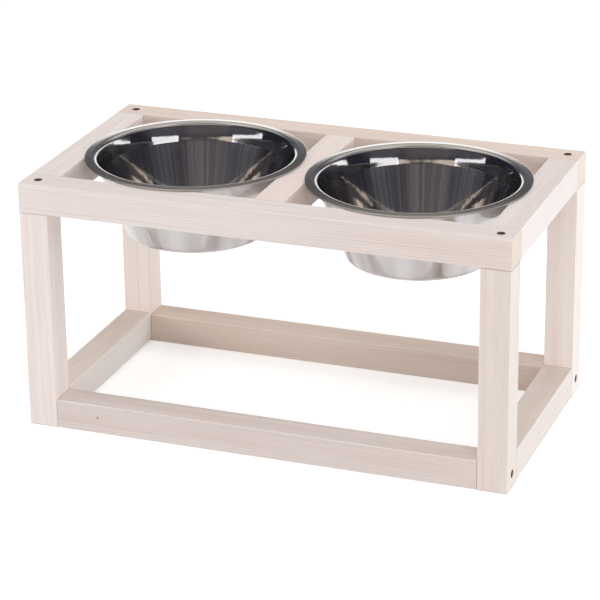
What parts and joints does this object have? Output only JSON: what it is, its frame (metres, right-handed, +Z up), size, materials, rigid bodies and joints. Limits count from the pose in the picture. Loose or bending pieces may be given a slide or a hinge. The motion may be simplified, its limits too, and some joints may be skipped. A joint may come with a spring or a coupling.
{
  "type": "elevated dog feeder",
  "caption": "Raised feeding stand: an open frame of square wooden battens holds two lift-out steel bowls by their rims, with free space below.",
  "frame": {"origin": "on the floor, under the middle of the stand", "axes": "+X along the stand to the right as seen from the front, +Y from front to back, +Z up"},
  "size_m": [0.56, 0.3, 0.2907],
  "materials": {
    "batten_wood": "whitewashed softwood, matt",
    "bowl_steel": "polished stainless sheet",
    "screw_steel": "plated, dull",
    "dowel_wood": "bare beech"
  },
  "bodies": {
    "frame": {"bottom_front_rail": "batten_wood", "bottom_left_rail": "batten_wood", "bottom_rear_rail": "batten_wood", "bottom_right_rail": "batten_wood", "front_left_leg": "batten_wood", "front_right_leg": "batten_wood", "rear_left_leg": "batten_wood", "rear_right_leg": "batten_wood", "top_centre_rail": "batten_wood", "top_front_rail": "batten_wood", "top_left_rail": "batten_wood", "top_rear_rail": "batten_wood", "top_right_rail": "batten_wood", "front_left_bottom_screw": "screw_steel", "front_left_top_screw": "screw_steel", "front_right_bottom_screw": "screw_steel", "front_right_top_screw": "screw_steel", "rear_left_bottom_screw": "screw_steel", "rear_left_top_screw": "screw_steel", "rear_right_bottom_screw": "screw_steel", "rear_right_top_screw": "screw_steel", "bottom_left_front_dowel_1": "dowel_wood", "bottom_left_front_dowel_2": "dowel_wood", "bottom_left_rear_dowel_1": "dowel_wood", "bottom_left_rear_dowel_2": "dowel_wood", "bottom_right_front_dowel_1": "dowel_wood", "bottom_right_front_dowel_2": "dowel_wood", "bottom_right_rear_dowel_1": "dowel_wood", "bottom_right_rear_dowel_2": "dowel_wood", "top_centre_front_dowel_1": "dowel_wood", "top_centre_front_dowel_2": "dowel_wood", "top_centre_rear_dowel_1": "dowel_wood", "top_centre_rear_dowel_2": "dowel_wood", "top_left_front_dowel_1": "dowel_wood", "top_left_front_dowel_2": "dowel_wood", "top_left_rear_dowel_1": "dowel_wood", "top_left_rear_dowel_2": "dowel_wood", "top_right_front_dowel_1": "dowel_wood", "top_right_front_dowel_2": "dowel_wood", "top_right_rear_dowel_1": "dowel_wood", "top_right_rear_dowel_2": "dowel_wood"},
    "left_bowl": {"left_bowl": "bowl_steel"},
    "right_bowl": {"right_bowl": "bowl_steel"}
  },
  "joints": [
    {"name": "left_bowl_lift", "type": "slide", "parent": "frame", "child": "left_bowl", "axis": [0, 0, 1], "range_m": [0, 0.12]},
    {"name": "right_bowl_lift", "type": "slide", "parent": "frame", "child": "right_bowl", "axis": [0, 0, 1], "range_m": [0, 0.12]}
  ]
}
